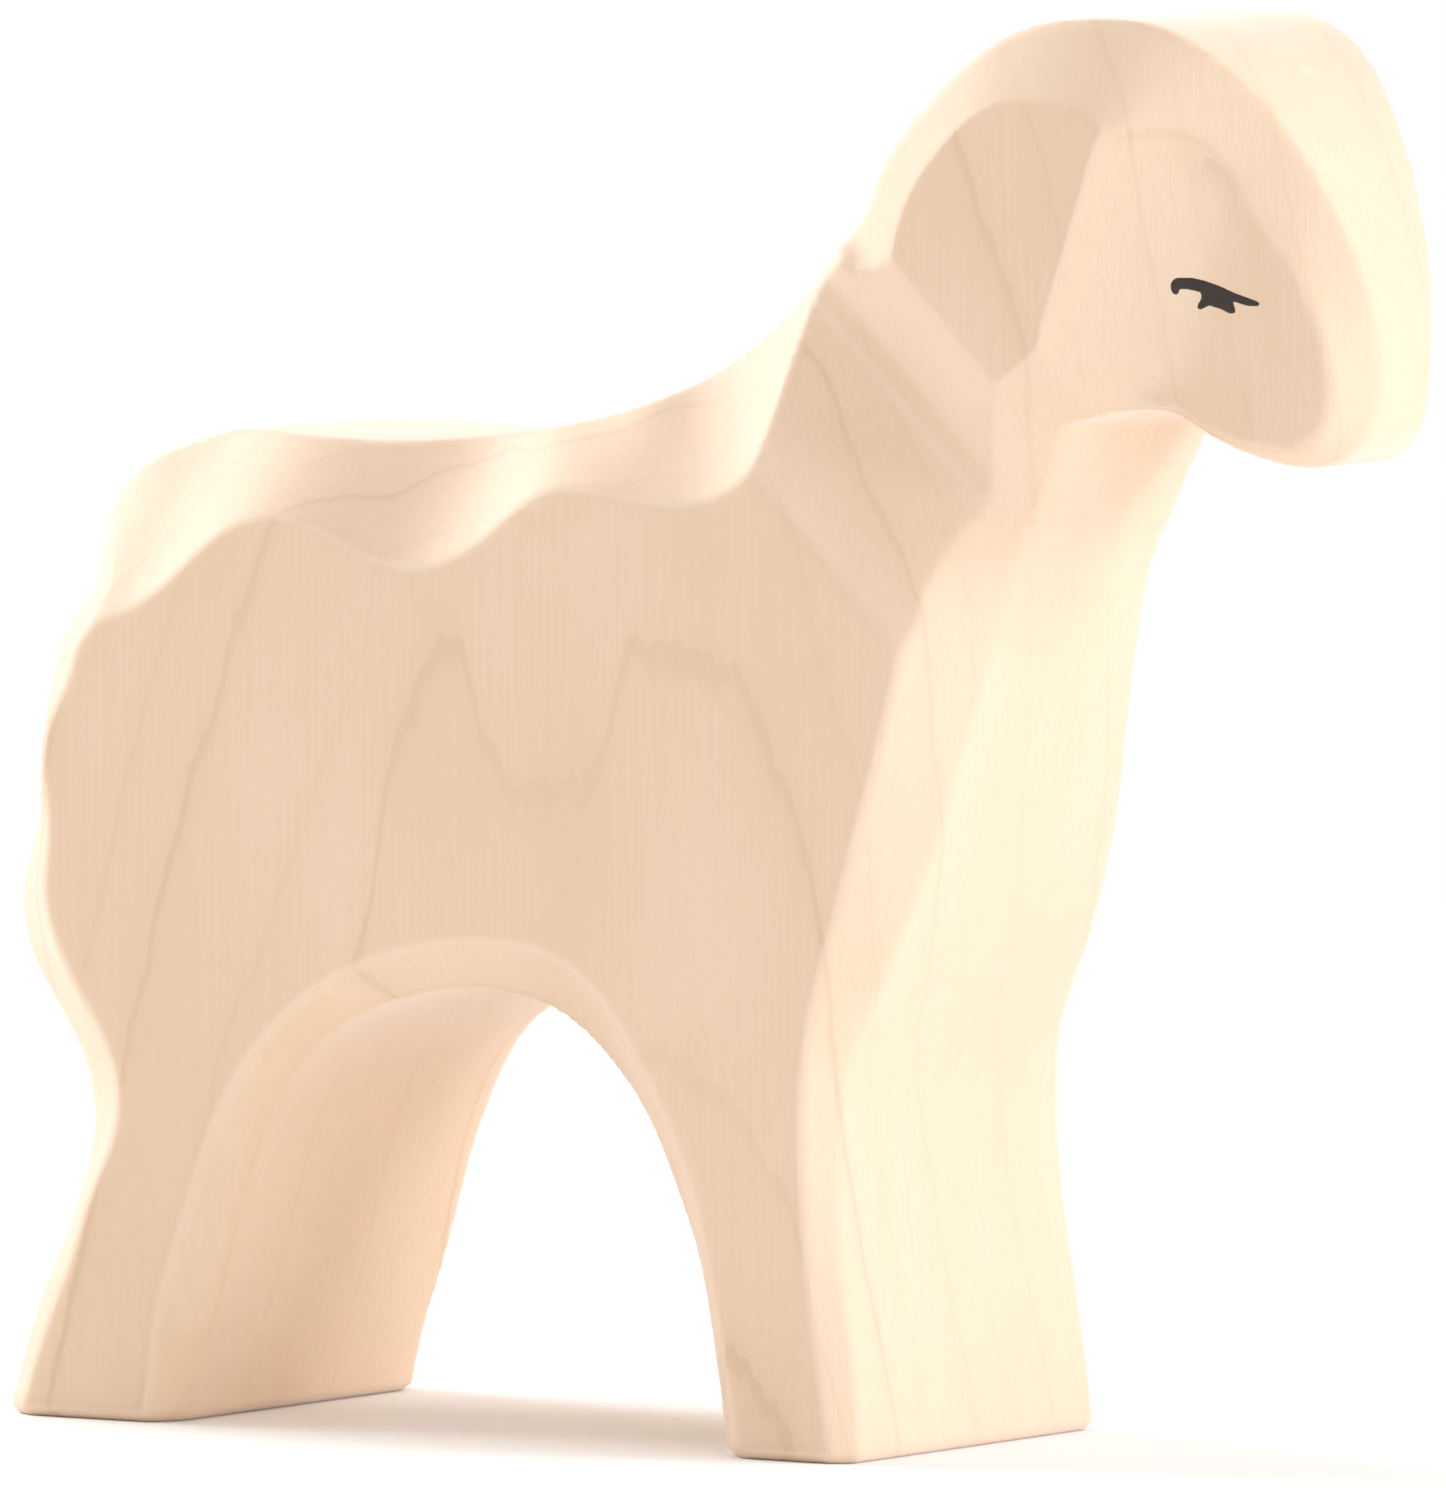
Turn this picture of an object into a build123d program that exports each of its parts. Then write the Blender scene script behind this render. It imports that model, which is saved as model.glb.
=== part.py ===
from build123d import *
from math import radians
import math
import os

os.makedirs("parts", exist_ok=True)

# Carved wooden sheep. It faces +X, its right side is -Y, and it stands on z = 0.
# The body is one block: sawn to its outline from a plank, then bevelled and hollowed by hand.

# Whole figure, in millimetres
length = 96
height = 90
thickness = 30
half = thickness / 2
overrun = 1.2

# Head
ear_width = 23.6
ear_half = ear_width / 2
ear_lean = 19
face_depth = 3.8
face_slope = 34
cheek_slope = 9

# Groove across the neck, between shoulder and ear
groove_depth = 5.2
groove_reach = 8.2
groove_run_out = 9.6
groove_rise = 18
groove_turn = 45
groove_shoulder_round = 14
groove_floor_round = 2.5

# Edges
arch_bevel = 2.2
arch_rim = 0.7
arch_rim_depth = 0.35
sole_bevel = 0.5

# Painted eyes
paint_film = 0.08

# Every table below is in shares: along the length from the middle, up the height,
# and, for widths, of half the thickness.

# Chest, from the front foot up to the throat: sawn face along, up and half width left by
# the bevel, then the bevel's edge on the flat side, along and up
chest_shares = [
    (0.176, -0.020, 0.920, 0.163, -0.020),
    (0.163, 0.110, 0.887, 0.145, 0.110),
    (0.153, 0.220, 0.840, 0.138, 0.220),
    (0.159, 0.280, 0.813, 0.141, 0.280),
    (0.180, 0.333, 0.780, 0.151, 0.333),
    (0.201, 0.389, 0.733, 0.167, 0.389),
    (0.218, 0.444, 0.687, 0.182, 0.444),
    (0.231, 0.500, 0.647, 0.199, 0.500),
    (0.244, 0.556, 0.600, 0.213, 0.556),
    (0.256, 0.611, 0.567, 0.227, 0.611),
    (0.278, 0.667, 0.587, 0.244, 0.667),
    (0.298, 0.718, 0.610, 0.263, 0.718),
]
chest_corner_shares = [(0.350, 0.718), (0.350, -0.020)]

# The same bevel on the left side, where it goes deeper below the throat
left_chest_shares = [
    (0.176, -0.020, 0.920, 0.163, -0.020),
    (0.163, 0.110, 0.887, 0.145, 0.110),
    (0.153, 0.220, 0.840, 0.138, 0.220),
    (0.159, 0.280, 0.813, 0.141, 0.280),
    (0.180, 0.333, 0.780, 0.151, 0.333),
    (0.201, 0.389, 0.730, 0.166, 0.389),
    (0.218, 0.444, 0.667, 0.180, 0.444),
    (0.231, 0.500, 0.600, 0.190, 0.500),
    (0.244, 0.556, 0.547, 0.198, 0.556),
    (0.256, 0.611, 0.530, 0.209, 0.611),
    (0.278, 0.667, 0.560, 0.234, 0.667),
    (0.298, 0.718, 0.600, 0.260, 0.718),
]

# Throat and jaw root: a flatter bevel, whose second edge is where it would meet the flat side
throat_shares = [
    (0.262, 0.545, 0.590, 0.224, 0.545),
    (0.252, 0.600, 0.573, 0.215, 0.600),
    (0.259, 0.620, 0.566, 0.211, 0.620),
    (0.270, 0.648, 0.562, 0.194, 0.648),
    (0.279, 0.672, 0.570, 0.152, 0.672),
    (0.289, 0.698, 0.585, 0.163, 0.700),
    (0.298, 0.716, 0.600, 0.199, 0.760),
    (0.326, 0.727, 0.610, 0.280, 0.844),
    (0.369, 0.729, 0.567, 0.357, 0.869),
    (0.400, 0.711, 0.560, 0.419, 0.881),
]
throat_corner_shares = [(0.420, 0.640), (0.350, 0.530)]
jaw_shares = [(0.336, 0.728), (0.369, 0.729)]

# Head, from the nape over the top to the nose and under the muzzle: sawn face along, up and
# half width, then the bevel's reach inwards as a share of the length, and how far it widens
head_shares = [
    (0.133, 0.841, 0.640, 0.0540, 0.189),
    (0.154, 0.869, 0.647, 0.0530, 0.184),
    (0.1705, 0.9035, 0.653, 0.0480, 0.169),
    (0.202, 0.940, 0.660, 0.0440, 0.157),
    (0.238, 0.972, 0.673, 0.0484, 0.143),
    (0.279, 0.993, 0.680, 0.0641, 0.135),
    (0.326, 1.000, 0.687, 0.0781, 0.130),
    (0.373, 0.996, 0.653, 0.0922, 0.147),
    (0.415, 0.972, 0.580, 0.0891, 0.142),
    (0.448, 0.933, 0.467, 0.0734, 0.122),
    (0.472, 0.889, 0.373, 0.0687, 0.167),
    (0.489, 0.844, 0.293, 0.0484, 0.229),
    (0.497, 0.811, 0.247, 0.0359, 0.230),
    (0.500, 0.778, 0.207, 0.0297, 0.275),
    (0.500, 0.744, 0.193, 0.0250, 0.272),
    (0.493, 0.717, 0.207, 0.0235, 0.256),
    (0.476, 0.698, 0.233, 0.0205, 0.238),
    (0.453, 0.692, 0.280, 0.0180, 0.204),
    (0.427, 0.6975, 0.353, 0.0150, 0.143),
    (0.400, 0.711, 0.440, 0.0105, 0.088),
]

# Back, from past the rump to the nape: its bevel ends in a wavy edge on the flat side
back_shares = [
    (-0.490, 0.644, 0.533, -0.470, 0.550),
    (-0.449, 0.646, 0.520, -0.421, 0.562),
    (-0.432, 0.668, 0.475, -0.394, 0.570),
    (-0.400, 0.684, 0.453, -0.368, 0.585),
    (-0.367, 0.695, 0.450, -0.345, 0.605),
    (-0.320, 0.698, 0.580, -0.314, 0.630),
    (-0.273, 0.696, 0.680, -0.273, 0.643),
    (-0.221, 0.694, 0.600, -0.223, 0.629),
    (-0.160, 0.698, 0.480, -0.160, 0.608),
    (-0.110, 0.704, 0.560, -0.105, 0.633),
    (-0.063, 0.713, 0.667, -0.056, 0.668),
    (-0.029, 0.722, 0.680, -0.014, 0.670),
    (0.004, 0.736, 0.573, 0.025, 0.661),
    (0.0355, 0.7535, 0.533, 0.065, 0.664),
    (0.066, 0.7745, 0.547, 0.099, 0.684),
    (0.0955, 0.797, 0.587, 0.125, 0.719),
    (0.1215, 0.826, 0.627, 0.153, 0.766),
    (0.144, 0.855, 0.653, 0.179, 0.810),
]
back_corner_shares = [(-0.050, 1.050), (-0.700, 1.050), (-0.700, 0.600)]

# Rump and back of the rear leg, from the top down to the rear foot
rump_shares = [
    (-0.440, 0.680, 0.460, -0.380, 0.680),
    (-0.449, 0.646, 0.520, -0.385, 0.641),
    (-0.453, 0.610, 0.590, -0.392, 0.610),
    (-0.455, 0.583, 0.640, -0.404, 0.582),
    (-0.458, 0.561, 0.820, -0.421, 0.562),
    (-0.459, 0.545, 0.900, -0.434, 0.545),
    (-0.460, 0.525, 0.930, -0.440, 0.525),
    (-0.461, 0.467, 0.940, -0.450, 0.467),
    (-0.477, 0.411, 0.873, -0.453, 0.411),
    (-0.499, 0.367, 0.787, -0.458, 0.367),
    (-0.498, 0.333, 0.760, -0.449, 0.333),
    (-0.471, 0.289, 0.767, -0.421, 0.289),
    (-0.443, 0.244, 0.800, -0.399, 0.244),
    (-0.432, 0.200, 0.853, -0.400, 0.200),
    (-0.440, 0.156, 0.900, -0.421, 0.156),
    (-0.463, 0.100, 0.913, -0.441, 0.100),
    (-0.481, 0.050, 0.900, -0.459, 0.050),
    (-0.502, -0.020, 0.890, -0.481, -0.020),
]
rump_corner_shares = [(-0.720, -0.020), (-0.720, 0.680)]

# Arch between the legs, from the rear foot over to the front foot: sawn face along and up,
# then the edge on the flat side along and up
arch_shares = [
    (-0.361, -0.020, -0.385, -0.020),
    (-0.347, 0.044, -0.373, 0.044),
    (-0.331, 0.094, -0.364, 0.098),
    (-0.317, 0.144, -0.348, 0.149),
    (-0.300, 0.198, -0.328, 0.207),
    (-0.277, 0.247, -0.300, 0.258),
    (-0.244, 0.280, -0.263, 0.299),
    (-0.198, 0.303, -0.211, 0.331),
    (-0.144, 0.314, -0.149, 0.349),
    (-0.092, 0.311, -0.090, 0.352),
    (-0.050, 0.293, -0.039, 0.336),
    (-0.017, 0.262, 0.002, 0.291),
    (0.009, 0.224, 0.031, 0.241),
    (0.027, 0.183, 0.052, 0.192),
    (0.043, 0.139, 0.066, 0.142),
    (0.054, 0.089, 0.076, 0.089),
    (0.061, 0.044, 0.084, 0.044),
    (0.070, -0.020, 0.096, -0.020),
]

# The middle of the neck groove's floor, and how far it runs to each side of that
groove_middle_shares = (0.191, 0.731)
groove_run_share = 0.300

# Where the leaning front edge of the ear begins, the woolly brow above the face, and how
# far forward the hollow of the face is cut
ear_front_shares = (0.3456, 0.930)
brow_shares = [
    (0.300, 0.904),
    (0.340, 0.916),
    (0.361, 0.921),
    (0.382, 0.923),
    (0.399, 0.916),
    (0.416, 0.897),
    (0.443, 0.860),
    (0.480, 0.815),
    (0.540, 0.750),
]
face_bottom_shares = [(0.540, 0.640), (0.300, 0.640)]
face_front_share = 0.600
face_fall_share = 0.300

# Right eye, on the cheek: a lid line with the dark of the eye below it
eye_shares = [
    (0.372, 0.819),
    (0.375, 0.823),
    (0.386, 0.823),
    (0.405, 0.817),
    (0.426, 0.809),
    (0.433, 0.806),
    (0.418, 0.806),
    (0.415, 0.796),
    (0.408, 0.802),
    (0.396, 0.803),
    (0.389, 0.800),
    (0.393, 0.805),
    (0.394, 0.811),
    (0.390, 0.816),
    (0.383, 0.817),
    (0.378, 0.815),
    (0.375, 0.810),
    (0.372, 0.812),
]


def sin(angle):
    """The sine of an angle in degrees."""
    return math.sin(radians(angle))


def cos(angle):
    """The cosine of an angle in degrees."""
    return math.cos(radians(angle))


def tan(angle):
    """The tangent of an angle in degrees."""
    return math.tan(radians(angle))


def at(along_share, up_share):
    """A place on the side view, from its shares."""
    return (along_share * length, up_share * height)


def slide(start, end, start_width, end_width, width):
    """The place at a given half width on the straight line between two edges."""
    part = (width - start_width) / (end_width - start_width)
    return (start[0] + part * (end[0] - start[0]), start[1] + part * (end[1] - start[1]))


def bevel(rows, corner_shares, curve=Spline):
    """The air outside a ruled bevel. A row is its two edges: place and half width of each."""
    inner_width = min(row[1] for row in rows) - overrun
    corners = [at(*corner) for corner in corner_shares]
    with BuildPart() as cut:
        for width in (inner_width, half + overrun):
            edge = [slide(start, end, start_width, end_width, width)
                    for start, start_width, end, end_width in rows]
            with BuildSketch(Plane.XZ.offset(width)):
                with BuildLine():
                    curve(*edge)
                    Polyline(edge[-1], *corners, edge[0])
                make_face()
        loft(ruled=True)
    return cut.part


def bevel_rows(shares, edge_width):
    """Bevel rows from a table whose second edge is at the given half width."""
    return [(at(along, up), width * half, at(edge_along, edge_up), edge_width)
            for along, up, width, edge_along, edge_up in shares]


# The cuts of the sides, each as the air it removes on the right, before mirroring
chest_cut = bevel(bevel_rows(chest_shares, half), chest_corner_shares)
left_chest_cut = bevel(bevel_rows(left_chest_shares, half), chest_corner_shares)
throat_cut = bevel(bevel_rows(throat_shares, half), throat_corner_shares, Polyline)
back_cut = bevel(bevel_rows(back_shares, half), back_corner_shares)
rump_cut = bevel(bevel_rows(rump_shares, half), rump_corner_shares)

arch_rows = []
rim_rows = []
for along, up, edge_along, edge_up in arch_shares:
    sawn = at(along, up)
    edge = at(edge_along, edge_up)
    reach = math.dist(sawn, edge)
    rim = slide(sawn, edge, 0, reach, reach - arch_rim)
    arch_rows.append((sawn, half - arch_bevel, rim, half - arch_rim_depth))
    rim_rows.append((rim, half - arch_rim_depth, edge, half))
arch_cut = bevel(arch_rows, [])
arch_rim_cut = bevel(rim_rows, [])

with BuildPart() as head_cut:
    points = [at(row[0], row[1]) for row in head_shares]
    for index, (along, up, width, reach, widening) in enumerate(head_shares):
        before = Vector(*points[max(index - 1, 0)])
        after = Vector(*points[min(index + 1, len(points) - 1)])
        run = (after - before).normalized()
        place = Plane(
            origin=(points[index][0], 0, points[index][1]),
            x_dir=(run.Y, 0, -run.X),
            z_dir=(-run.X, 0, -run.Y),
        )
        start = width * half
        depth = reach * length
        rise = widening * half
        with BuildSketch(place):
            with BuildLine():
                Polyline(
                    (-overrun, start - rise * overrun / depth),
                    (depth, start + rise),
                    (depth, half + overrun),
                    (-overrun, half + overrun),
                    close=True,
                )
            make_face()
    loft()

# The neck groove runs down and forward, with its floor on one straight line
groove_middle = at(*groove_middle_shares)
with BuildPart() as groove_cut:
    groove_plane = Plane(
        origin=(groove_middle[0], 0, groove_middle[1]),
        x_dir=(sin(groove_turn), 0, cos(groove_turn)),
        z_dir=(cos(groove_turn), 0, -sin(groove_turn)),
    )
    with BuildSketch(groove_plane):
        with BuildLine():
            outside = half + overrun
            left = (-groove_reach - groove_run_out, outside)
            right = ((groove_depth + overrun) / tan(groove_rise), outside)
            FilletPolyline(
                left,
                (-groove_reach, half),
                (0, half - groove_depth),
                right,
                radius=[groove_shoulder_round, groove_floor_round],
            )
            Line(right, left)
        make_face()
    extrude(amount=groove_run_share * length, both=True)

# Everything above the groove is thinned to the plane of the ears
with BuildPart() as head_side_cut:
    with BuildSketch(Plane.XZ.offset(ear_half)):
        with BuildLine():
            high_end = (groove_middle[0] - length, groove_middle[1] + length * tan(groove_turn))
            low_end = (groove_middle[0] + length, groove_middle[1] - length * tan(groove_turn))
            Polyline(high_end, low_end, (low_end[0], high_end[1]), close=True)
        make_face()
    extrude(amount=half + overrun - ear_half)

# The face is hollowed from the front edge of the ear to the cheek, and stops at the brow
face_height = at(*ear_front_shares)[1]
with BuildPart() as face_cut:
    with BuildSketch(Plane.XY.offset(face_height)):
        with BuildLine():
            outside = half + overrun
            ear_front = at(*ear_front_shares)[0]
            ear_side = (ear_front - (outside - ear_half) / tan(face_slope), -outside)
            cheek_start = (ear_front + face_depth / tan(face_slope), face_depth - ear_half)
            nose_x = face_front_share * length
            nose_y = cheek_start[1] + (nose_x - cheek_start[0]) * tan(cheek_slope)
            Polyline(ear_side, cheek_start, (nose_x, nose_y), (nose_x, -outside), close=True)
        make_face()
    extrude(amount=face_fall_share * height, dir=(-sin(ear_lean), 0, -cos(ear_lean)))
    with BuildSketch(Plane.XZ):
        with BuildLine():
            brow = [at(*shares) for shares in brow_shares]
            bottom = [at(*shares) for shares in face_bottom_shares]
            Spline(*brow)
            Polyline(brow[-1], *bottom, brow[0])
        make_face()
    extrude(amount=half + overrun, mode=Mode.INTERSECT)

shared_cuts = [
    rump_cut,
    back_cut,
    arch_cut,
    arch_rim_cut,
    head_side_cut.part,
    groove_cut.part,
    throat_cut,
    head_cut.part,
    face_cut.part,
]
right_cuts = [chest_cut, *shared_cuts]
left_cuts = [mirror(cut, about=Plane.XZ) for cut in (left_chest_cut, *shared_cuts)]

with BuildPart() as carved_body:
    with BuildSketch(Plane.XZ.offset(half)):
        with BuildLine():
            front = [at(row[0], row[1]) for row in chest_shares]
            upper = [front[-1]]
            upper += [at(*row) for row in jaw_shares]
            upper += [at(row[0], row[1]) for row in reversed(head_shares)]
            upper += [at(row[0], row[1]) for row in reversed(back_shares[1:-1])]
            upper += [at(row[0], row[1]) for row in rump_shares[2:]]
            arch = [at(row[0], row[1]) for row in arch_shares]
            Spline(*front)
            Spline(*upper)
            Line(upper[-1], arch[0])
            Spline(*arch)
            Line(arch[-1], front[0])
        make_face()
    extrude(amount=-thickness)
    split(bisect_by=Plane.XY, keep=Keep.TOP)
    for right_cut, left_cut in zip(right_cuts, left_cuts):
        add(right_cut, mode=Mode.SUBTRACT)
        add(left_cut, mode=Mode.SUBTRACT)
    soles = faces().filter_by(Axis.Z).group_by(Axis.Z)[0]
    chamfer(soles.edges(), sole_bevel)

carved_body.part.label = "carved_body"
export_step(carved_body.part, "parts/carved_body.step")

# The right eye is a film of paint on the cheek, and the left eye is its mirror image
with BuildPart() as right_eye:
    with BuildSketch(Plane.XZ):
        with BuildLine():
            Polyline(*[at(*shares) for shares in eye_shares], close=True)
        make_face()
    extrude(amount=half)
    add(face_cut.part, mode=Mode.INTERSECT)
    add(Pos(0, -paint_film, 0) * face_cut.part, mode=Mode.SUBTRACT)
right_eye.part.label = "right_eye"
export_step(right_eye.part, "parts/right_eye.step")

with BuildPart() as left_eye:
    mirror(right_eye.part, about=Plane.XZ)
left_eye.part.label = "left_eye"
export_step(left_eye.part, "parts/left_eye.step")
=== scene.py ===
import math

import bmesh
import bpy
import numpy as np
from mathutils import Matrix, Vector, noise
from mathutils.bvhtree import BVHTree


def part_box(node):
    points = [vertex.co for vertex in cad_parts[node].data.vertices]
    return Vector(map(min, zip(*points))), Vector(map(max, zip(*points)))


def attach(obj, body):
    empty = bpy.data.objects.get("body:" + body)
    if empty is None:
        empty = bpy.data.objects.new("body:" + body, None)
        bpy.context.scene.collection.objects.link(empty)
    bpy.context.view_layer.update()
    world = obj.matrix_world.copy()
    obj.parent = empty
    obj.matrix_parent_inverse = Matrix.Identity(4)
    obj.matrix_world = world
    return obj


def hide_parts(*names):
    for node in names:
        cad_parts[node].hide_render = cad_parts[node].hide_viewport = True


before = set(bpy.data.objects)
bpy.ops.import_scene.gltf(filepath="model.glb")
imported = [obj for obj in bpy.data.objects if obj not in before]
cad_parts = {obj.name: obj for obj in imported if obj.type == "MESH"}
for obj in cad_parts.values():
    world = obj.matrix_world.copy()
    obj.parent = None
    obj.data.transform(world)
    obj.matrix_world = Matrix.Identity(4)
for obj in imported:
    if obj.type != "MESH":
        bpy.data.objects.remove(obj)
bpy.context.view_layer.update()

MM = 0.001


# ---------------------------------------------------------------- camera

CAMERA_AZIMUTH = math.radians(33.0)
CAMERA_ELEVATION = math.radians(3.7)
CAMERA_DISTANCE = 1.5
CAMERA_TARGET = Vector((-2.2 * MM, 0, 43.05 * MM))
SENSOR_WIDTH = 36.0
# 1500 pixels of height cover 94.34 mm at the target
FRAME_PIXELS = 1500
PIXELS_PER_METRE = 15900


def add_camera():
    """The photograph's view: 33 degrees round from the right side, a little above level."""
    back = Vector((
        math.sin(CAMERA_AZIMUTH) * math.cos(CAMERA_ELEVATION),
        -math.cos(CAMERA_AZIMUTH) * math.cos(CAMERA_ELEVATION),
        math.sin(CAMERA_ELEVATION),
    ))
    data = bpy.data.cameras.new("photo_camera")
    data.sensor_width = SENSOR_WIDTH
    data.sensor_fit = "AUTO"
    data.lens = SENSOR_WIDTH * CAMERA_DISTANCE * PIXELS_PER_METRE / FRAME_PIXELS
    data.clip_start = 0.05
    data.clip_end = 100
    camera = bpy.data.objects.new("photo_camera", data)
    camera.location = CAMERA_TARGET + back * CAMERA_DISTANCE
    camera.rotation_euler = back.to_track_quat("Z", "Y").to_euler()
    bpy.context.scene.collection.objects.link(camera)
    bpy.context.scene.camera = camera


add_camera()


# ---------------------------------------------------------------- node helpers

class Nodes:
    """Short calls that add nodes to one material or world and join them."""

    def __init__(self, owner):
        self.owner = owner
        owner.use_nodes = True
        self.tree = owner.node_tree
        self.tree.nodes.clear()

    def add(self, kind, inputs=None, **settings):
        node = self.tree.nodes.new(kind)
        for key, value in settings.items():
            setattr(node, key, value)
        for key, value in (inputs or {}).items():
            self.put(node.inputs[key], value)
        return node

    def put(self, socket, value):
        if isinstance(value, bpy.types.NodeSocket):
            self.tree.links.new(value, socket)
        else:
            socket.default_value = value

    def math(self, operation, a, b=None, c=None, clamp=False):
        node = self.add("ShaderNodeMath", operation=operation, use_clamp=clamp)
        for socket, value in zip(node.inputs, (a, b, c)):
            if value is not None:
                self.put(socket, value)
        return node.outputs[0]

    def between(self, value, none, full):
        """0 where the value is at none, 1 where it is at full, straight between and held beyond."""
        span = full - none
        return self.math("MULTIPLY_ADD", value, 1 / span, -none / span, clamp=True)

    def level(self, share, low, high):
        """A level that goes from low to high as a share goes from 0 to 1."""
        return self.math("MULTIPLY_ADD", share, high - low, low)

    def shifted(self, base, swing, share):
        """The base moved by up to half of swing each way, as a share goes from 0 to 1."""
        return self.math("ADD", base, self.math("MULTIPLY_ADD", share, swing, -swing / 2))

    def in_mm(self):
        """The place on the object, in millimetres."""
        return self.stretch(self.add("ShaderNodeTexCoord").outputs["Object"], (1 / MM,) * 3)

    def stretch(self, vector, scale):
        return self.add("ShaderNodeMapping", {"Vector": vector, "Scale": scale}).outputs["Vector"]

    def noise(self, vector, scale, detail=2.0, roughness=0.5):
        """Noise from 0 to 1, with its own fineness along x, y and z."""
        node = self.add("ShaderNodeTexNoise", {
            "Vector": self.stretch(vector, scale),
            "Scale": 1.0,
            "Detail": detail,
            "Roughness": roughness,
        })
        return node.outputs["Fac"]

    def curve(self, value, points):
        node = self.add("ShaderNodeFloatCurve", {"Value": value})
        line = node.mapping.curves[0]
        while len(line.points) < len(points):
            line.points.new(0.5, 0.5)
        for point, place in zip(line.points, points):
            point.location = place
        node.mapping.update()
        return node.outputs[0]

    def ramp(self, value, stops):
        node = self.add("ShaderNodeValToRGB", {"Fac": value})
        elements = node.color_ramp.elements
        while len(elements) < len(stops):
            elements.new(0.5)
        for element, (place, colour) in zip(elements, stops):
            element.position = place
            element.color = colour
        return node.outputs["Color"]

    def blend(self, factor, a, b):
        node = self.add("ShaderNodeMix", data_type="RGBA")
        self.put(node.inputs["Factor"], factor)
        self.put(node.inputs["A"], a)
        self.put(node.inputs["B"], b)
        return node.outputs["Result"]

    def tinted(self, colour, other, where, amount):
        """The colour, moved towards the other by up to an amount where a mask is 1."""
        return self.blend(self.math("MULTIPLY", where, amount), colour, other)

    def seen_directly(self):
        """1 for what the camera sees, also mirrored or through glass, and 0 for other rays."""
        path = self.add("ShaderNodeLightPath").outputs
        direct = self.math("MAXIMUM", path["Is Camera Ray"], path["Is Glossy Ray"])
        return self.math("MAXIMUM", direct, path["Is Transmission Ray"])

    def finish(self, shader, output="ShaderNodeOutputMaterial"):
        self.add(output, {"Surface": shader})
        return self.owner


def linear(red, green, blue):
    """A colour written as it shows on screen, 0 to 255, in the shader's linear units."""
    def one(value):
        value = value / 255
        return value / 12.92 if value <= 0.04045 else ((value + 0.055) / 1.055) ** 2.4
    return (one(red), one(green), one(blue), 1.0)


# ---------------------------------------------------------------- wood

# The pith runs upright beyond the right side; distances in millimetres
PITH_X, PITH_Y = -2.5, -50.0
RING_WIDTH = 4.15
# the flank's plainest ring lies this far from the pith
PLAIN_RING = 46.0
# a ring's distance grows by this share of the height
TAPER = 0.2
# every other ring is shifted by twice this share of a ring, so that they stand in pairs
RING_PAIRING = 0.115
# what is left of the fainter rings, and of all rings in the middle of the plank
FAINTER_RING = 0.28
MIDDLE_RING = 0.35
# the middle of the plank ends and its outer wood starts this far from its middle plane
MIDDLE_ENDS, OUTER_STARTS = 6.0, 12.0
# A slow wander, a ripple and a smudge of the rings, each longer along the grain than across it:
# the swing, and the fineness of its noise along x, y and z
RING_WAVES = [
    (1.6, (0.055, 0.055, 0.022)),
    (0.9, (0.30, 0.30, 0.09)),
    (0.5, (1.3, 1.3, 0.35)),
]

# The wave in the fibres that makes the double peak on the flank: place along the figure, 0 to 1
# over the length round its middle, and shift of the rings, 0.5 for none
FIGURE_LENGTH = 100
FIGURE_SWING = 10.0
FIGURE = [
    (0.0, 0.50), (0.20, 0.50), (0.30, 0.55), (0.335, 0.40), (0.36, 0.41), (0.40, 0.64),
    (0.45, 0.76), (0.475, 0.74), (0.51, 0.57), (0.56, 0.50), (0.62, 0.445), (0.66, 0.52),
    (0.80, 0.50), (1.0, 0.50),
]
# How dark a ring is from its inner to its outer edge: slow pale wood, then a fine late line
LATE_WOOD = [
    (0.0, 0.60), (0.05, 0.14), (0.14, 0.02), (0.55, 0.02), (0.80, 0.12), (0.91, 0.36),
    (0.965, 0.95), (1.0, 0.90),
]

PALE_WOOD = linear(235, 205, 174)
PALEST_WOOD = linear(243, 213, 184)
RING_TONE = linear(212, 172, 136)
FIBRE_TONE = linear(229, 194, 161)
FLECK_TONE = linear(212, 172, 138)
# paler tone, used as painted light on faces that slant from the sides and on raised edges as wear
# with a painted highlight
PALE_WEAR_AND_PAINTED_LIGHT = linear(250, 226, 200)
# darker tone painted into hollow corners as painted shade
PAINTED_SHADE_TONE = linear(219, 181, 146)


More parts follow.
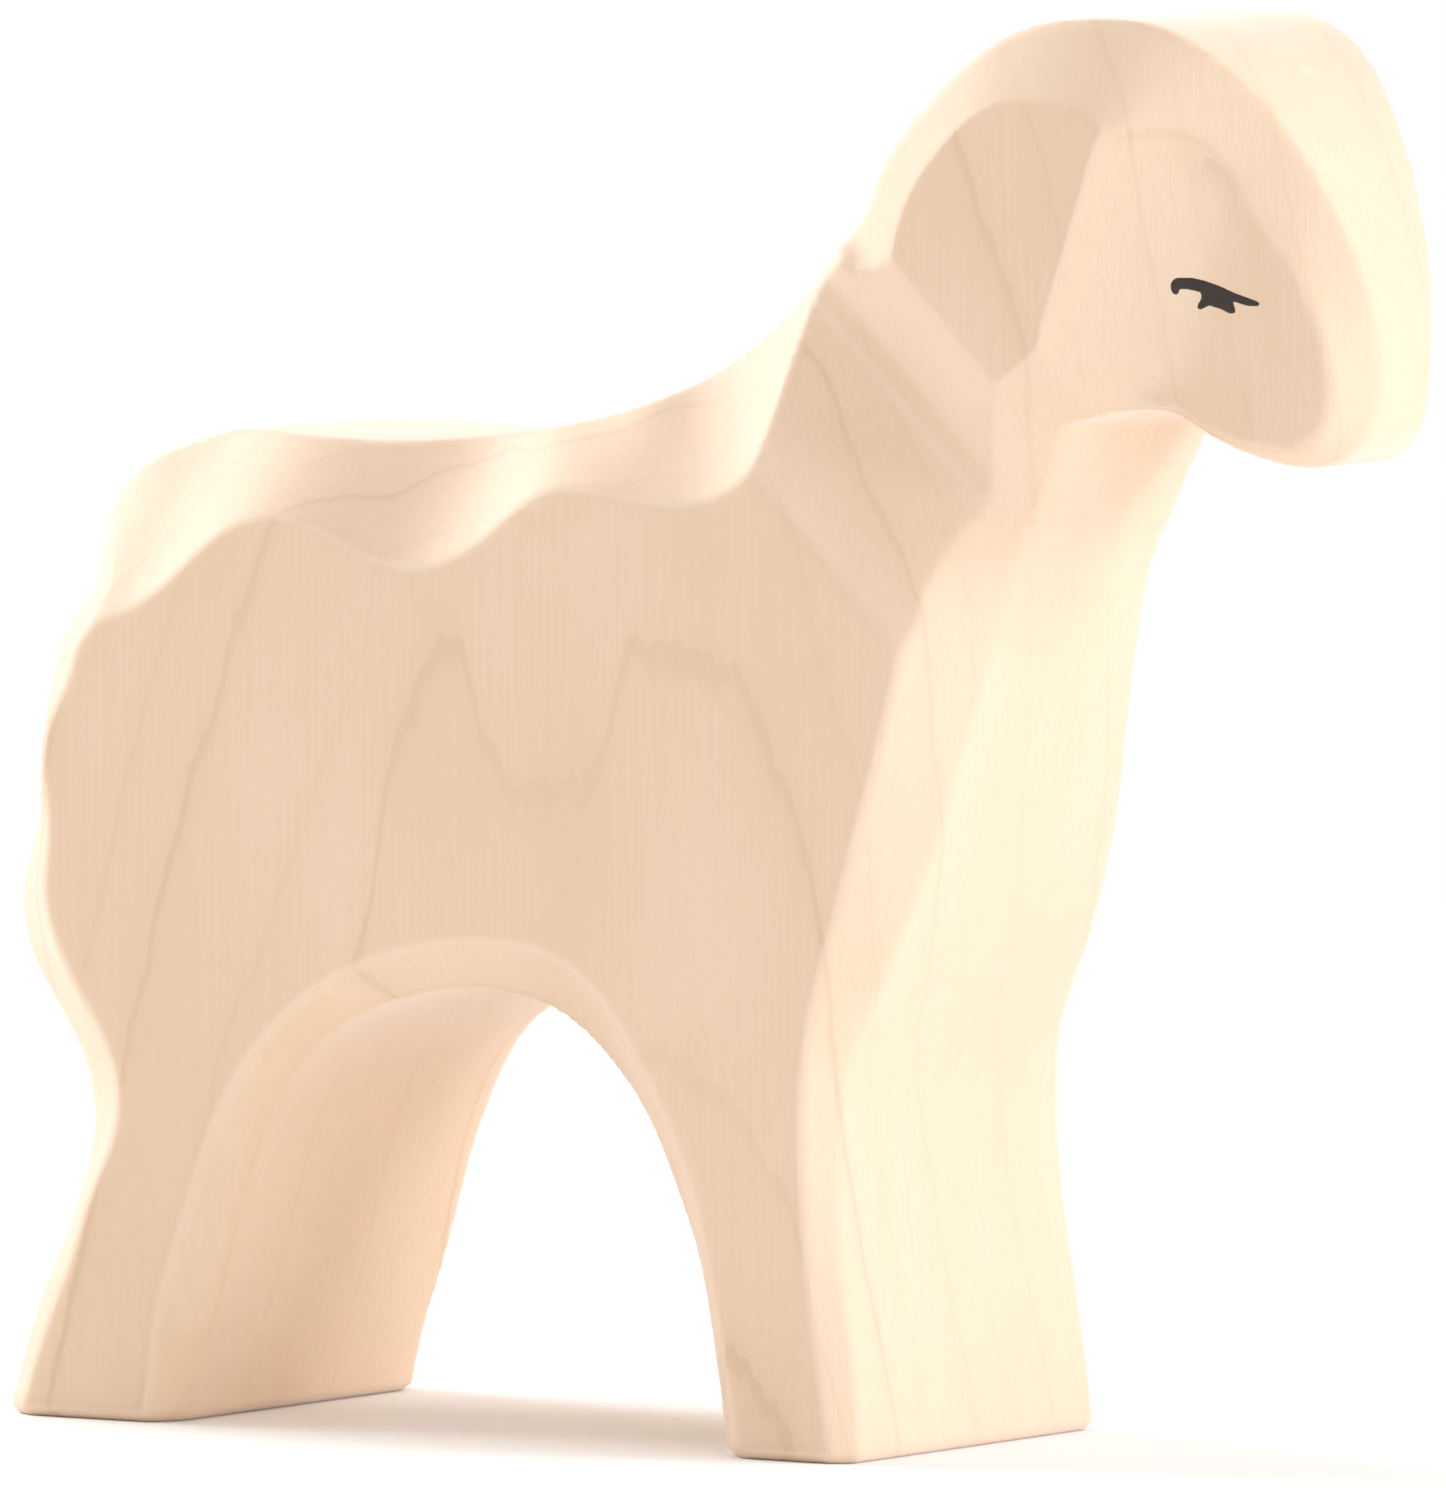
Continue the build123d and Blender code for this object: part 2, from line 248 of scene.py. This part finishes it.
def late_wood(n, mm):
    """The growth rings' late lines, 0 to 1, solid through the whole block."""
    x, y, z = n.add("ShaderNodeSeparateXYZ", {"Vector": mm}).outputs
    across = n.math("SUBTRACT", x, PITH_X)
    beyond = n.math("SUBTRACT", y, PITH_Y)
    radius = n.math("SQRT", n.math("ADD", n.math("MULTIPLY", across, across),
                                   n.math("MULTIPLY", beyond, beyond)))
    rings = n.math("ADD", radius, n.math("MULTIPLY", z, TAPER))
    figure = n.curve(n.math("MULTIPLY_ADD", x, 1 / FIGURE_LENGTH, 0.5), FIGURE)
    rings = n.shifted(rings, FIGURE_SWING, figure)
    for swing, scale in RING_WAVES:
        rings = n.shifted(rings, swing, n.noise(mm, scale))
    turns = n.math("MULTIPLY_ADD", rings, 1 / RING_WIDTH, -PLAIN_RING / RING_WIDTH)
    other = n.math("COSINE", n.math("MULTIPLY", turns, math.pi))
    turns = n.math("MULTIPLY_ADD", other, -RING_PAIRING, turns)
    turns = n.math("ADD", turns, RING_PAIRING)
    late = n.curve(n.math("FRACT", turns), LATE_WOOD)
    # patches of stronger and weaker rings
    patches = n.noise(mm, (0.05, 0.05, 0.03), detail=1.0)
    late = n.math("MULTIPLY", late, n.between(patches, none=0.0625, full=0.6875))
    # every other ring is a faint one, as the cosine goes from -1 to 1
    faint = n.math("MULTIPLY_ADD", other, (1 - FAINTER_RING) / 2, (1 + FAINTER_RING) / 2)
    late = n.math("MULTIPLY", late, faint)
    outer = n.between(n.math("ABSOLUTE", y), none=MIDDLE_ENDS, full=OUTER_STARTS)
    return n.math("MULTIPLY", late, n.level(outer, MIDDLE_RING, 1.0))


def painted_light_on_slants(n):
    """Painted light: 1 on faces that slant a little from the planed sides, so that they are painted
    paler as if more light fell there, but not where they rise with the grain.

    A planed side's normal has a sideways part of 1, a steep cut's one near 0.
    """
    normal = n.add("ShaderNodeTexCoord").outputs["Normal"]
    facing = n.add("ShaderNodeSeparateXYZ", {"Vector": normal}).outputs
    sideways = n.math("ABSOLUTE", facing[1])
    slanting = n.between(sideways, none=0.991818, full=0.946364)
    gentle = n.between(sideways, none=0.70, full=0.95)
    rise = n.math("MULTIPLY", facing[0], facing[2])
    across_grain = n.between(rise, none=0.15, full=0.025)
    return n.math("MULTIPLY", n.math("MULTIPLY", slanting, gentle), across_grain)


def maple_material():
    """Pale maple, as a solid block: growth rings round a pith beside the plank, grain upright."""
    n = Nodes(bpy.data.materials.new("maple"))
    mm = n.in_mm()
    late = late_wood(n, mm)
    # fibres, pores and short rays, all long along the grain
    fibres = n.noise(mm, (2.6, 2.6, 0.10), detail=3.0, roughness=0.62)
    threads = n.noise(mm, (7.0, 7.0, 0.35), roughness=0.6)
    rays = n.noise(mm, (5.0, 1.4, 0.9), detail=1.0)
    flecks = n.between(rays, none=0.65, full=0.816667)
    clouds = n.noise(mm, (0.075, 0.075, 0.03))

    colour = n.ramp(clouds, [(0.30, PALE_WOOD), (0.70, PALEST_WOOD)])
    colour = n.tinted(colour, RING_TONE, late, amount=0.52)
    colour = n.tinted(colour, FIBRE_TONE, n.between(fibres, none=0.2, full=1.2), amount=0.50)
    colour = n.tinted(colour, FLECK_TONE, flecks, amount=0.22)
    # painted light: faces that slant a little from the sides are painted paler, as if lit more
    colour = n.tinted(colour, PALE_WEAR_AND_PAINTED_LIGHT, painted_light_on_slants(n), amount=0.46)
    # raised edges are painted paler, partly as rubbed wear and partly as a painted highlight;
    # hollow corners are painted darker as painted shade; a flat has 0.5
    edges = n.add("ShaderNodeNewGeometry").outputs["Pointiness"]
    wear_and_highlight = n.between(edges, none=0.54, full=0.706667)
    colour = n.tinted(colour, PALE_WEAR_AND_PAINTED_LIGHT, wear_and_highlight, amount=0.35)
    # painted shade in hollows and creases, where less light reaches
    painted_crease_shade = n.between(edges, none=0.46, full=0.348889)
    colour = n.tinted(colour, PAINTED_SHADE_TONE, painted_crease_shade, amount=0.18)

    # late wood and rubbed edges shine a little more
    rough = n.level(fibres, 0.50, 0.66)
    rough = n.math("MULTIPLY_ADD", late, -0.08, rough)
    rough = n.math("MULTIPLY_ADD", wear_and_highlight, -0.10, rough)
    height = n.math("MULTIPLY_ADD", threads, 0.6, fibres)
    height = n.math("MULTIPLY_ADD", late, 0.5, height)
    bump = n.add("ShaderNodeBump", {"Strength": 0.22, "Distance": 0.12 * MM, "Height": height})
    shader = n.add("ShaderNodeBsdfPrincipled", {
        "Base Color": colour,
        "Roughness": rough,
        "Specular IOR Level": 0.42,
        "Sheen Weight": 0.5,
        "Sheen Roughness": 0.5,
        "Normal": bump.outputs["Normal"],
    })
    return n.finish(shader.outputs["BSDF"])


# ---------------------------------------------------------------- eye paint

PAINT_DARK = linear(36, 27, 22)
PAINT = linear(52, 40, 33)
PAINT_THIN = linear(78, 60, 48)
PAINT_DUSTY = linear(62, 48, 40)


def eye_material():
    """Dark brown paint from a fine brush, uneven along the strokes."""
    n = Nodes(bpy.data.materials.new("eye_paint"))
    mm = n.in_mm()
    strokes = n.noise(mm, (1.6, 1.6, 9.0), detail=3.0, roughness=0.6)
    grains = n.noise(mm, (14.0, 14.0, 14.0), roughness=0.6)
    colour = n.ramp(strokes, [(0.25, PAINT_DARK), (0.60, PAINT), (0.85, PAINT_THIN)])
    colour = n.tinted(colour, PAINT_DUSTY, grains, amount=0.3)
    rough = n.level(grains, 0.34, 0.59)
    height = n.math("MULTIPLY_ADD", strokes, 0.7, grains)
    bump = n.add("ShaderNodeBump", {"Strength": 0.3, "Distance": 0.03 * MM, "Height": height})
    shader = n.add("ShaderNodeBsdfPrincipled", {
        "Base Color": colour,
        "Roughness": rough,
        "Specular IOR Level": 0.4,
        "Normal": bump.outputs["Normal"],
    })
    return n.finish(shader.outputs["BSDF"])


maple = maple_material()
eye_paint = eye_material()


# ---------------------------------------------------------------- carved block

WELD = 0.002 * MM
VOXEL = 0.47 * MM
SOFTENING_PASSES = 2
# hand work cuts the surface back by this much on average, and fades out at the soles
HAND_WORK = 0.045 * MM
SOLE_CLEARANCE = 2 * MM
# its broad and fine waves to a millimetre, drawn out along the grain
BROAD_WAVES, FINE_WAVES = 0.16, 0.42
FINE_SHARE = 0.45
FINE_START = Vector((7, 3, 1))
ALONG_GRAIN = 0.55

# The hollow of a cheek, in millimetres: a steep flat comes in from the ear and meets the shallow
# flat of the cheek in a fold that leans with the ear's front edge, 8 mm from the middle plane
FOLD_X, FOLD_Z = 38.81, 83.7
FOLD_DEPTH = -8.0
EAR_LEAN = math.tan(math.radians(19))
STEEP_SLOPE = math.tan(math.radians(34))
SHALLOW_SLOPE = math.tan(math.radians(9))
HOLLOW_TOLERANCE = 0.22
# the fold is filled where the depths of the two flats differ by less than this
SCOOP_SPREAD = 2.4
# the fill fades out towards the brow and the jaw
BROW_X = [28.8, 32.6, 34.7, 36.7, 38.3, 39.9, 42.5, 46.1, 51.8]
BROW_Z = [81.4, 82.4, 82.9, 83.1, 82.4, 80.7, 77.4, 73.4, 67.5]
BROW_FADE = 5
JAW_Z = 66
JAW_FADE = 3


def baked_copy(source, name):
    """A plain mesh object from what another object's modifiers make of it."""
    graph = bpy.context.evaluated_depsgraph_get()
    mesh = bpy.data.meshes.new_from_object(source.evaluated_get(graph))
    mesh.name = name
    made = bpy.data.objects.new(name, mesh)
    bpy.context.scene.collection.objects.link(made)
    return made


def unevenness(x, y, z):
    """Low waves of a hand-carved surface at a place in millimetres, about -1 to 1."""
    place = Vector((x, y, z * ALONG_GRAIN))
    fine = noise.noise(place * FINE_WAVES + FINE_START)
    return noise.noise(place * BROAD_WAVES) + FINE_SHARE * fine


def ease(value):
    """0 to 1 with soft ends."""
    value = np.clip(value, 0, 1)
    return value * value * (3 - 2 * value)


def scoop(places):
    """How far each place of a cheek's hollow moves out, so that its two flats run into one."""
    x, y, z = places.T
    along = x - FOLD_X + (FOLD_Z - z) * EAR_LEAN
    steep = FOLD_DEPTH + along * STEEP_SLOPE
    shallow = FOLD_DEPTH + along * SHALLOW_SLOPE
    on_hollow = np.abs(-np.abs(y) - np.minimum(steep, shallow)) < HOLLOW_TOLERANCE
    near = np.clip(1 - np.abs(shallow - steep) / SCOOP_SPREAD, 0, 1)
    brow = np.interp(x, BROW_X, BROW_Z)
    # a quadratic join, thickest in the fold
    fill = 0.25 * SCOOP_SPREAD * near ** 2
    fill = fill * ease((brow - z) / BROW_FADE) * ease((z - JAW_Z) / JAW_FADE)
    return np.where(on_hollow, np.sign(y) * fill, 0)


def make_block(node, name):
    """The block with its arrises rubbed soft and the faint unevenness of hand work."""
    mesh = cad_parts[node].data.copy()
    welded = bmesh.new()
    welded.from_mesh(mesh)
    bmesh.ops.remove_doubles(welded, verts=welded.verts, dist=WELD)
    welded.to_mesh(mesh)
    welded.free()
    carved = bpy.data.objects.new(name + "_carved", mesh)
    rough = bpy.data.objects.new(name + "_rough", mesh.copy())
    bpy.context.scene.collection.objects.link(carved)
    bpy.context.scene.collection.objects.link(rough)
    remesh = rough.modifiers.new("remesh", "REMESH")
    remesh.mode = "VOXEL"
    remesh.voxel_size = VOXEL
    snug = rough.modifiers.new("snug", "SHRINKWRAP")
    snug.wrap_method = "NEAREST_SURFACEPOINT"
    snug.target = carved
    soften = rough.modifiers.new("soften", "SMOOTH")
    soften.factor = 0.5
    soften.iterations = SOFTENING_PASSES
    block = baked_copy(rough, name)
    bpy.data.objects.remove(rough)
    bpy.data.objects.remove(carved)

    mesh = block.data
    places = np.empty((len(mesh.vertices), 3), np.float32)
    normals = np.empty_like(places)
    mesh.vertices.foreach_get("co", places.ravel())
    mesh.vertices.foreach_get("normal", normals.ravel())
    places[:, 1] += scoop(places / MM) * MM
    waves = np.array([unevenness(x, y, z) for x, y, z in (places / MM).tolist()])
    clear = np.clip(places[:, 2] / SOLE_CLEARANCE, 0, 1)
    places -= normals * ((HAND_WORK * waves + HAND_WORK) * clear)[:, None]
    low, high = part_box(node)
    mesh.vertices.foreach_set("co", np.clip(places, low, high).astype(np.float32).ravel())
    mesh.polygons.foreach_set("use_smooth", [True] * len(mesh.polygons))
    mesh.materials.clear()
    mesh.materials.append(maple)
    mesh.update()
    return block


block = make_block("carved_body", "sheep_block")
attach(block, "root")
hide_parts("carved_body")


# ---------------------------------------------------------------- painted eyes

# The right eye's strokes on the side view, in millimetres: along, up and half width of the brush
LID = [
    (36.32, 73.18, 0.17), (36.36, 73.52, 0.25), (36.60, 73.69, 0.30), (37.10, 73.68, 0.33),
    (37.70, 73.58, 0.34), (38.40, 73.38, 0.34), (39.20, 73.12, 0.30), (40.00, 72.87, 0.22),
    (40.80, 72.62, 0.20), (41.30, 72.51, 0.15), (41.52, 72.48, 0.09),
]
DARK = [
    (38.35, 73.20, 0.38), (38.40, 72.85, 0.42), (38.90, 72.75, 0.50), (39.35, 72.55, 0.44),
    (39.60, 72.30, 0.34), (39.85, 72.05, 0.18),
]
CORNER = [(38.12, 72.56, 0.25), (37.76, 72.22, 0.11)]
STEPS_PER_POINT = 8

# The patch of cheek that holds the eye, cut into a grid, and where its rays start, in millimetres
EYE_LEFT, EYE_RIGHT, EYE_BOTTOM, EYE_TOP = 35.3, 42.0, 71.3, 74.7
EYE_GRID = 0.07
RAY_START = 50
EYE_COLUMNS = round((EYE_RIGHT - EYE_LEFT) / EYE_GRID)
EYE_ROWS = round((EYE_TOP - EYE_BOTTOM) / EYE_GRID)

# The paint lies just off the wood at its edge and swells to its full film over the edge's width,
# all in millimetres
FILM_LIFT = 0.004
FILM = 0.045
FILM_EDGE = 0.12
# the film's outer row is drawn in to the brush line, so that its edge is smooth
EDGE_PASSES = 4
EDGE_HOLD = 0.4
# farther out than any place on the patch can be
FAR_OUTSIDE = -9.0


def smooth_line(points, steps):
    """Points along a smooth curve through the given ones, widths included."""
    ends = [points[0]] + points + [points[-1]]
    made = []
    for index in range(1, len(ends) - 2):
        a, b, c, d = (Vector(ends[index + k]) for k in (-1, 0, 1, 2))
        for step in range(steps):
            t = step / steps
            made.append(0.5 * ((2 * b) + (c - a) * t + (2 * a - 5 * b + 4 * c - d) * t * t
                               + (3 * b - a - 3 * c + d) * t * t * t))
    made.append(Vector(points[-1]))
    return made


def inside_strokes(point, lines):
    """How far inside the nearest stroke a place is, in millimetres."""
    best = FAR_OUTSIDE
    for line in lines:
        for a, b in zip(line, line[1:]):
            run = Vector((b.x - a.x, b.y - a.y))
            reach = Vector((point[0] - a.x, point[1] - a.y))
            t = min(1.0, max(0.0, reach.dot(run) / max(run.length_squared, 1e-9)))
            away = (reach - run * t).length
            best = max(best, a.z + (b.z - a.z) * t - away)
    return best


def make_eye(name, node, side, carrier):
    """A brushed eye that follows the carved cheek. side is -1 for the right eye, 1 for the left."""
    lines = [smooth_line(stroke, STEPS_PER_POINT) for stroke in (LID, DARK, CORNER)]
    depth = {}
    for i in range(EYE_COLUMNS + 1):
        for k in range(EYE_ROWS + 1):
            point = (EYE_LEFT + i * EYE_GRID, EYE_BOTTOM + k * EYE_GRID)
            depth[i, k] = inside_strokes(point, lines)
    made = bmesh.new()
    corners = {}

    def corner(i, k):
        if (i, k) not in corners:
            start = Vector(((EYE_LEFT + i * EYE_GRID) * MM, side * RAY_START * MM,
                            (EYE_BOTTOM + k * EYE_GRID) * MM))
            hit, normal, _, _ = carrier.ray_cast(start, Vector((0, -side, 0)))
            film = FILM * min(1.0, max(0.0, depth[i, k] / FILM_EDGE)) ** 0.5
            corners[i, k] = made.verts.new(hit + normal * (FILM_LIFT + film) * MM)
        return corners[i, k]

    for i in range(EYE_COLUMNS):
        for k in range(EYE_ROWS):
            ring = [(i, k), (i + 1, k), (i + 1, k + 1), (i, k + 1)]
            if max(depth[c] for c in ring) > 0:
                face = [corner(*c) for c in ring]
                made.faces.new(face if side < 0 else face[::-1])
    for _ in range(EDGE_PASSES):
        moved = {}
        for v in made.verts:
            near = [e.other_vert(v).co for e in v.link_edges if e.is_boundary]
            if len(near) == 2:
                moved[v] = v.co * EDGE_HOLD + (near[0] + near[1]) * ((1 - EDGE_HOLD) / 2)
        for v, place in moved.items():
            v.co = place
    mesh = bpy.data.meshes.new(name)
    made.to_mesh(mesh)
    made.free()
    mesh.polygons.foreach_set("use_smooth", [True] * len(mesh.polygons))
    mesh.materials.append(eye_paint)
    eye = bpy.data.objects.new(name, mesh)
    bpy.context.scene.collection.objects.link(eye)
    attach(eye, "root")
    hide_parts(node)


cheek = BVHTree.FromPolygons(
    [v.co.copy() for v in block.data.vertices],
    [tuple(p.vertices) for p in block.data.polygons],
)
make_eye("right_eye_paint", "right_eye", -1, cheek)
make_eye("left_eye_paint", "left_eye", 1, cheek)


# ---------------------------------------------------------------- floor and light

PURE_WHITE = (1, 1, 1, 1)
TABLE_WHITE = (0.95, 0.95, 0.95, 1)
TENT_WHITE = (1.0, 0.985, 0.94, 1)
LAMP_WHITE = (1, 1, 1)
LAMP_COOL_WHITE = (0.95, 0.98, 1.10)
# the tent's even light, and how it grows along x, y and z
TENT_LEVEL = 0.385
TENT_SLOPE = (-0.09, 0.40, 0.62)
FIGURE_MIDDLE = Vector((0, 0, 45 * MM))

FLOOR_RADIUS = 12
# the table turns plain white for the camera between these distances from the figure
FLOOR_NEAR, FLOOR_FAR = 0.25, 0.50


def add_floor():
    """A wide white table top."""
    made = bmesh.new()
    bmesh.ops.create_circle(made, cap_ends=True, segments=96, radius=FLOOR_RADIUS)
    mesh = bpy.data.meshes.new("floor")
    made.to_mesh(mesh)
    made.free()
    n = Nodes(bpy.data.materials.new("white_floor"))
    near = n.add("ShaderNodeBsdfPrincipled", {
        "Base Color": TABLE_WHITE,
        "Roughness": 0.9,
        "Specular IOR Level": 0.1,
    })
    far = n.add("ShaderNodeEmission", {"Color": PURE_WHITE})
    place = n.add("ShaderNodeTexCoord").outputs["Object"]
    away = n.add("ShaderNodeVectorMath", {0: place}, operation="LENGTH").outputs["Value"]
    beyond = n.between(away, none=FLOOR_NEAR, full=FLOOR_FAR)
    share = n.math("MULTIPLY", beyond, n.seen_directly())
    shader = n.add("ShaderNodeMixShader", {0: share, 1: near.outputs[0], 2: far.outputs[0]})
    mesh.materials.append(n.finish(shader.outputs[0]))
    floor = bpy.data.objects.new("floor", mesh)
    bpy.context.scene.collection.objects.link(floor)


def add_world():
    """A warm white tent, brighter overhead and behind, and pure white where it is seen."""
    world = bpy.data.worlds.new("tent")
    bpy.context.scene.world = world
    n = Nodes(world)
    place = n.add("ShaderNodeTexCoord").outputs["Generated"]
    slope = n.add("ShaderNodeVectorMath", {0: place, 1: TENT_SLOPE}, operation="DOT_PRODUCT")
    light = n.math("ADD", slope.outputs["Value"], TENT_LEVEL)
    direct = n.seen_directly()
    strength = n.add("ShaderNodeMix", {"Factor": direct, "A": light, "B": 1.0})
    back = n.add("ShaderNodeBackground", {
        "Color": n.blend(direct, TENT_WHITE, PURE_WHITE),
        "Strength": strength.outputs["Result"],
    })
    n.finish(back.outputs[0], "ShaderNodeOutputWorld")


def add_lamp(name, place, size, power, colour):
    """A square soft box that points at the middle of the figure."""
    data = bpy.data.lights.new(name, "AREA")
    data.shape = "SQUARE"
    data.size = size
    data.energy = power
    data.color = colour
    lamp = bpy.data.objects.new(name, data)
    lamp.location = place
    aim = FIGURE_MIDDLE - Vector(place)
    lamp.rotation_euler = aim.to_track_quat("-Z", "Y").to_euler()
    lamp.visible_camera = False
    bpy.context.scene.collection.objects.link(lamp)


add_floor()
add_world()
add_lamp("key_box", (1.35, 0.36, 0.64), size=0.55, power=9.8, colour=LAMP_COOL_WHITE)
add_lamp("left_box", (-1.3, 0.04, 0.66), size=1.0, power=18.5, colour=LAMP_WHITE)
add_lamp("front_box", (1.30, -0.62, 0.22), size=0.9, power=7.7, colour=LAMP_COOL_WHITE)

bpy.context.scene.view_settings.view_transform = "Standard"
